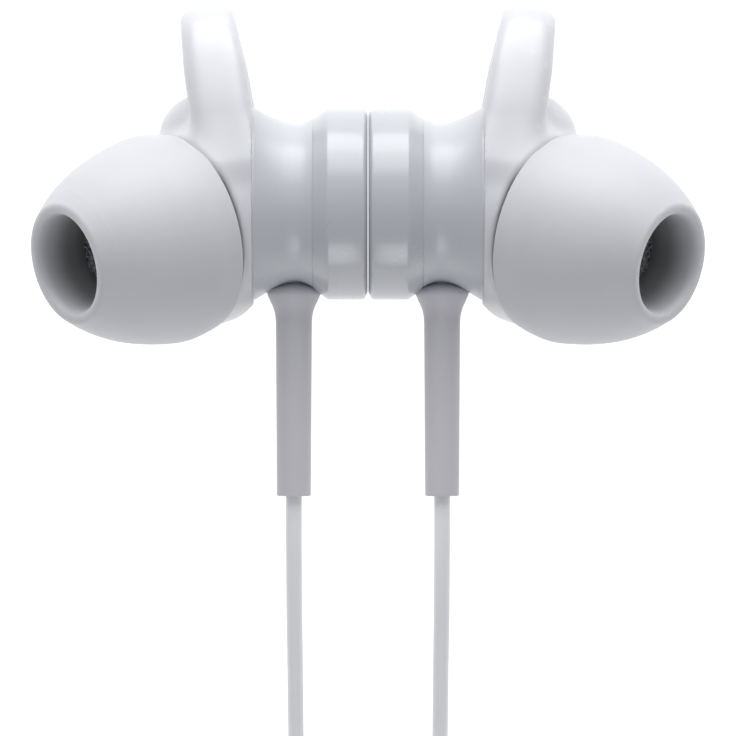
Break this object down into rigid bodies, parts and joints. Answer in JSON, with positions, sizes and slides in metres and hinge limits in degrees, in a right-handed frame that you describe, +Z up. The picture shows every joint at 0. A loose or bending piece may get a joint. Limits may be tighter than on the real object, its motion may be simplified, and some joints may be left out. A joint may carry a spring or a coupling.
{
  "type": "neckband earphones",
  "caption": "White wireless neckband earphones: in-ear buds with ear wings clasped back to back by magnetic end discs, thin cords to pods on a U-shaped silicone collar.",
  "frame": {"origin": "on the surface that the earphones lie on, under the middle of the box of everything but the loose cords", "axes": "+Y from the pods towards the collar's arch, +Z up from the surface, +X towards the control pod"},
  "size_m": [0.1359, 0.2325, 0.0176],
  "materials": {
    "disc_gloss": "glossy white plastic",
    "bud_shell": "satin-gloss white plastic",
    "tip_silicone": "matte translucent white silicone",
    "wing_silicone": "satin white silicone",
    "cord_jacket": "matte pale grey elastomer",
    "band_silicone": "matte white silicone",
    "pod_shell": "satin-gloss white plastic",
    "button_rubber": "matte pale grey silicone",
    "steel_mesh": "fine woven steel",
    "magnet_nickel": "nickel plate",
    "driver_can": "satin",
    "spring_steel": "drawn wire",
    "harness_sheath": "matte",
    "circuit_board": "solder mask",
    "cell_foil": "foil pouch",
    "switch_black": "matte",
    "port_steel": "stamped steel",
    "light_pipe": "frosted clear"
  },
  "bodies": {
    "collar": {"band_skin_arch": "band_silicone", "spring_wire_arch": "spring_steel", "harness_arch": "harness_sheath"},
    "left_arm": {"band_skin_left": "band_silicone", "spring_wire_left": "spring_steel", "harness_left": "harness_sheath", "bud_cord_left": "cord_jacket", "battery_pod_upper": "pod_shell", "battery_pod_lower": "pod_shell", "battery_cell": "cell_foil", "protection_board": "circuit_board", "battery_pod_nose": "cord_jacket"},
    "right_arm": {"band_skin_right": "band_silicone", "spring_wire_right": "spring_steel", "harness_right": "harness_sheath", "bud_cord_right": "cord_jacket", "control_pod_upper": "pod_shell", "control_pod_lower": "pod_shell", "main_board": "circuit_board", "volume_up_switch": "switch_black", "multifunction_switch": "switch_black", "volume_down_switch": "switch_black", "usb_port": "port_steel", "status_light": "light_pipe", "microphone_mesh": "steel_mesh", "vibration_motor": "driver_can", "control_pod_nose": "cord_jacket"},
    "left_bud": {"magnet_cap_left": "disc_gloss", "clasp_magnet_left": "magnet_nickel", "rear_shell_left": "bud_shell", "driver_left": "driver_can", "front_shell_left": "bud_shell", "nozzle_mesh_left": "steel_mesh", "wing_sleeve_left": "wing_silicone", "cord_collar_left": "cord_jacket", "strain_relief_left": "cord_jacket"},
    "right_bud": {"magnet_cap_right": "disc_gloss", "clasp_magnet_right": "magnet_nickel", "rear_shell_right": "bud_shell", "driver_right": "driver_can", "front_shell_right": "bud_shell", "nozzle_mesh_right": "steel_mesh", "wing_sleeve_right": "wing_silicone", "cord_collar_right": "cord_jacket", "strain_relief_right": "cord_jacket"},
    "left_tip": {"ear_tip_left": "tip_silicone"},
    "right_tip": {"ear_tip_right": "tip_silicone"},
    "volume_up": {"volume_up_button": "button_rubber"},
    "multifunction": {"multifunction_button": "button_rubber"},
    "volume_down": {"volume_down_button": "button_rubber"},
    "cover": {"port_cover": "button_rubber"}
  },
  "joints": [
    {"name": "left_arm_flex", "type": "hinge", "parent": "collar", "child": "left_arm", "pos_m": [-0.0642, 0.00705, 0.0025], "axis": [0, 0, -1], "range_deg": [0, 12], "stiffness_Nm_per_rad": 0.4},
    {"name": "left_bud_unclasp", "type": "slide", "parent": "left_arm", "child": "left_bud", "axis": [-1, 0, 0], "range_m": [0, 0.02]},
    {"name": "left_tip_pull_off", "type": "slide", "parent": "left_bud", "child": "left_tip", "axis": [-0.7806, -0.2312, 0.5807], "range_m": [0, 0.012]},
    {"name": "right_arm_flex", "type": "hinge", "parent": "collar", "child": "right_arm", "pos_m": [0.0642, 0.00705, 0.0025], "axis": [0, 0, 1], "range_deg": [0, 12], "stiffness_Nm_per_rad": 0.4},
    {"name": "right_bud_unclasp", "type": "slide", "parent": "right_arm", "child": "right_bud", "axis": [1, 0, 0], "range_m": [0, 0.02]},
    {"name": "right_tip_pull_off", "type": "slide", "parent": "right_bud", "child": "right_tip", "axis": [0.7806, -0.2312, 0.5807], "range_m": [0, 0.012]},
    {"name": "volume_up_press", "type": "slide", "parent": "right_arm", "child": "volume_up", "axis": [0, 0, -1], "range_m": [0, 0.0004], "stiffness_N_per_m": 2000},
    {"name": "multifunction_press", "type": "slide", "parent": "right_arm", "child": "multifunction", "axis": [0, 0, -1], "range_m": [0, 0.0004], "stiffness_N_per_m": 2000},
    {"name": "volume_down_press", "type": "slide", "parent": "right_arm", "child": "volume_down", "axis": [0, 0, -1], "range_m": [0, 0.0004], "stiffness_N_per_m": 2000},
    {"name": "port_cover_swing", "type": "hinge", "parent": "right_arm", "child": "cover", "pos_m": [0.068, -0.04845, 0.0061], "axis": [0, 0, -1], "range_deg": [0, 100]}
  ]
}
